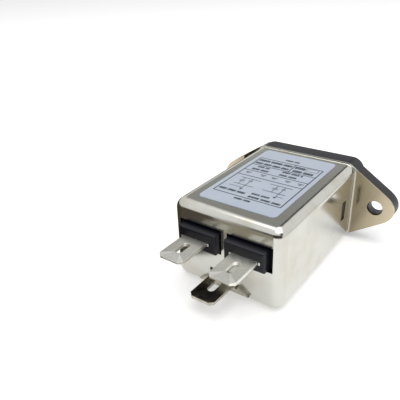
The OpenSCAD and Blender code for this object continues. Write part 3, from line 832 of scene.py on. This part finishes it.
# %% Earth tab
earth = bmesh.new()
EARTH_TOP, EARTH_TIP = -5.7, 47.3
w = TAB_W / 2
foot = [(-6.6, -8.3), (6.6, -8.3), (4.1, -6.5), (w + 0.7, -6.5), (w + 0.7, -7.1), (w, -7.1), (w, -6.9),
        (-w, -6.9), (-w, -7.1), (-w - 0.7, -7.1), (-w - 0.7, -6.5), (-4.1, -6.5)]
corner_face(earth, foot, BACK)
earth.edges.ensure_lookup_table()
strip = [e for e in earth.edges if all(abs(v.co.z + 6.9 * MM) < 1e-7 for v in e.verts)]
for step in range(6):
    a0, a1 = math.pi / 2 * step / 6, math.pi / 2 * (step + 1) / 6
    made = bmesh.ops.extrude_edge_only(earth, edges=strip)["geom"]
    shift = (0, 1.2 * (math.cos(a0) - math.cos(a1)) * MM, 1.2 * (math.sin(a1) - math.sin(a0)) * MM)
    bmesh.ops.translate(earth, vec=shift, verts=[g for g in made if isinstance(g, bmesh.types.BMVert)])
    strip = [g for g in made if isinstance(g, bmesh.types.BMEdge) and all(v.is_boundary for v in g.verts)
             and abs((g.verts[0].co - g.verts[1].co).x) > MM]
blank(earth, tab_corners(0, BACK + 1.2, EARTH_TIP), (0, EARTH_TIP - 7.3, EARTH_TIP - 3.3, 0.85), EARTH_TOP)
bmesh.ops.remove_doubles(earth, verts=earth.verts, dist=1e-6)
bmesh.ops.recalc_face_normals(earth, faces=earth.faces)
if max(earth.faces, key=lambda f: f.calc_center_median().y).normal.z < 0:
    bmesh.ops.reverse_faces(earth, faces=earth.faces)
earth_tab = finish_mesh("earth_tab", earth, painted_dark_earth_tin, "earth_terminal", smooth=False)
wall = earth_tab.modifiers.new("sheet", "SOLIDIFY")
wall.thickness = TAB_T * MM
wall.offset = -1.0
wall.use_even_offset = True
soft_edges(earth_tab, 0.07, 2, 40)

# %% [markdown]
# ## Label
#
# The film keeps its exact solid. The print on it is a frame of thin lines, the lines of
# the circuit inside, and plain bars where a real label carries words. Everything is a
# sliver of ink, about one hundredth of a millimetre thick.

# %% Ink helpers
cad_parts["rating_label"].data.materials[0] = label_film
INK_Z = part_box("rating_label")[1].z
INK_T = 0.012 * MM
ink = bmesh.new()


def bar(u0, u1, v0, v1):
    """A bar of ink; u runs across the label and v along it, both in millimetres."""
    size = ((u1 - u0) * MM, (v1 - v0) * MM, INK_T)
    middle = (-(u0 + u1) / 2 * MM, (v0 + v1) / 2 * MM, INK_Z + INK_T / 2)
    bmesh.ops.create_cube(ink, size=1.0, matrix=Matrix.Translation(middle) @ Matrix.Diagonal((*size, 1)))


def across(u0, u1, v, t=0.26):
    """A thin line across the label."""
    bar(u0, u1, v - t / 2, v + t / 2)


def along(u, v0, v1, t=0.26):
    """A thin line along the label."""
    bar(u - t / 2, u + t / 2, v0, v1)


def greeked(u0, u1, v0, v1, word=2.2, seed=0):
    """Small blocks in place of a line of words, which no one can read."""
    u, count = u0, 0
    while u < u1 - 0.15:
        width = 0.30 + 0.09 * ((seed + 5 * count) % 4)
        drop = 0.08 * ((seed + 3 * count) % 3) * (v1 - v0) * 0.5
        bar(u, min(u + width, u1), v0 + drop, v1 - (0.08 if count % 2 else 0.0))
        count += 1
        u += width + (0.42 if count % max(2, round(word / 0.45)) == 0 else 0.09)


def arrow(u, base, tip, half):
    """A solid triangle that points along the label."""
    made = bmesh.ops.create_circle(ink, cap_ends=True, segments=3, radius=1.0)["verts"]
    for vert, (pu, pv) in zip(made, ((u - half, base), (u, tip), (u + half, base))):
        vert.co = (-pu * MM, pv * MM, INK_Z)
    thicken(ink, list(made[0].link_faces), (0, 0, INK_T))


# %% Frame, bars and circuit
for v in (7.4, 12.0, 15.8, 18.9, 29.4):
    across(-8.6, 8.65, v)
for u in (-8.6, 8.65):
    along(u, 7.4, 29.4)
along(1.5, 7.4, 12.0)
greeked(-8.2, 1.1, 8.2, 9.4, 2.6, 1)
greeked(-8.2, 1.0, 10.2, 11.4, 1.8, 2)
greeked(1.9, 4.5, 8.1, 9.4, 3.0, 3)
for v in (7.9, 9.4):
    across(4.8, 7.9, v, 0.14)
for u in (4.8, 7.9):
    along(u, 7.9, 9.4, 0.14)
greeked(2.2, 8.0, 10.2, 11.5, 2.4, 4)
greeked(-6.3, -3.1, 12.4, 13.3, 1.4, 5)
greeked(0.5, 5.9, 12.4, 13.3, 1.6, 6)
greeked(-7.0, -2.0, 14.1, 15.1, 2.0, 7)
greeked(0.5, 5.1, 14.1, 15.1, 1.8, 8)
for u in (-6.6, -2.5, 0.5, 4.07, 7.3):
    bar(u - 0.75, u + 0.75, 16.75, 17.05)
    bar(u - 0.45, u + 0.45, 17.35, 17.6)
for v in (20.3, 23.9):
    across(-6.6, -1.3, v, 0.2)
    across(1.2, 6.9, v, 0.2)
for u in (-5.4, 3.4):
    along(u, 20.3, 21.75, 0.16)
    across(u - 0.7, u + 0.7, 21.8, 0.2)
    across(u - 0.7, u + 0.7, 22.3, 0.2)
    along(u, 22.35, 23.9, 0.16)
for u, end in ((-3.4, -7.0), (5.3, 7.1)):
    along(u, 20.3, 21.2, 0.16)
    across(u - 0.5, u + 0.5, 21.25, 0.18)
    across(u - 0.5, u + 0.5, 21.65, 0.18)
    along(u, 21.65, 25.3, 0.16)
    across(min(u, end), max(u, end), 25.3, 0.16)
    arrow(u, 25.6, 26.4, 0.45)
greeked(-8.1, -0.9, 27.2, 28.1, 1.8, 9)
greeked(0.1, 5.1, 26.4, 27.2, 1.8, 10)
greeked(0.1, 8.0, 27.9, 28.8, 2.2, 11)
greeked(-2.2, 1.8, 5.4, 6.2, 2.0, 12)
greeked(-2.2, 1.8, 30.1, 30.9, 2.0, 13)
finish_mesh("label_print", ink, label_ink, None, smooth=False)

# %% [markdown]
# ## What the can hides
#
# The choke, the capacitors and the liner keep their exact solids. Each gets the
# finish that it has in any filter of this kind, though only a cut-open one shows it.

# %% Inner finishes
def coated(name, deep, light, rough, size_mm, metallic=0.0):
    """A part finish: two close colours, mixed in patches of the given size."""
    material, tree, place = start_material(name)
    patches = add(tree, "ShaderNodeTexNoise", {"Vector": place, "Scale": per_mm(size_mm), "Detail": 3.0})
    shade = add(tree, "ShaderNodeMix", {0: patches.outputs["Fac"], 6: paint(deep), 7: paint(light)},
                data_type="RGBA")
    bump = add(tree, "ShaderNodeBump",
               {"Height": patches.outputs["Fac"], "Strength": 0.4, "Distance": 0.02 * MM})
    body = add(tree, "ShaderNodeBsdfPrincipled",
               {"Base Color": shade.outputs[2], "Metallic": metallic, "Roughness": rough})
    end_material(tree, body, bump.outputs[0])
    return material


enamel = coated("enamelled_copper_wire", "#A4521F", "#C4753A", 0.28, 1.5, 0.8)
blue_coat = coated("blue_capacitor_coat", "#1F4F8C", "#2D66AC", 0.35, 1.2)
inner_finishes = {
    "choke_core": coated("epoxy_coated_ferrite", "#2C4A38", "#3A5C48", 0.5, 1.0),
    "choke_divider": coated("natural_nylon", "#E0DBC8", "#EDE9DA", 0.45, 2.0),
    "line_winding": enamel,
    "neutral_winding": enamel,
    "x_capacitor": coated("yellow_film_box", "#C99C2E", "#DDB54A", 0.4, 3.0),
    "line_y_capacitor": blue_coat,
    "neutral_y_capacitor": blue_coat,
    "bleed_resistor": coated("resistor_lacquer", "#7D98A4", "#93ADB8", 0.35, 0.8),
    "earth_strap": tinned_strip,
    "insulating_liner": coated("pressed_paper_liner", "#DED8C4", "#EAE5D4", 0.7, 0.8),
}
for node, material in inner_finishes.items():
    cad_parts[node].data.materials.clear()
    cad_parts[node].data.materials.append(material)
print("inner finishes:", len(inner_finishes))
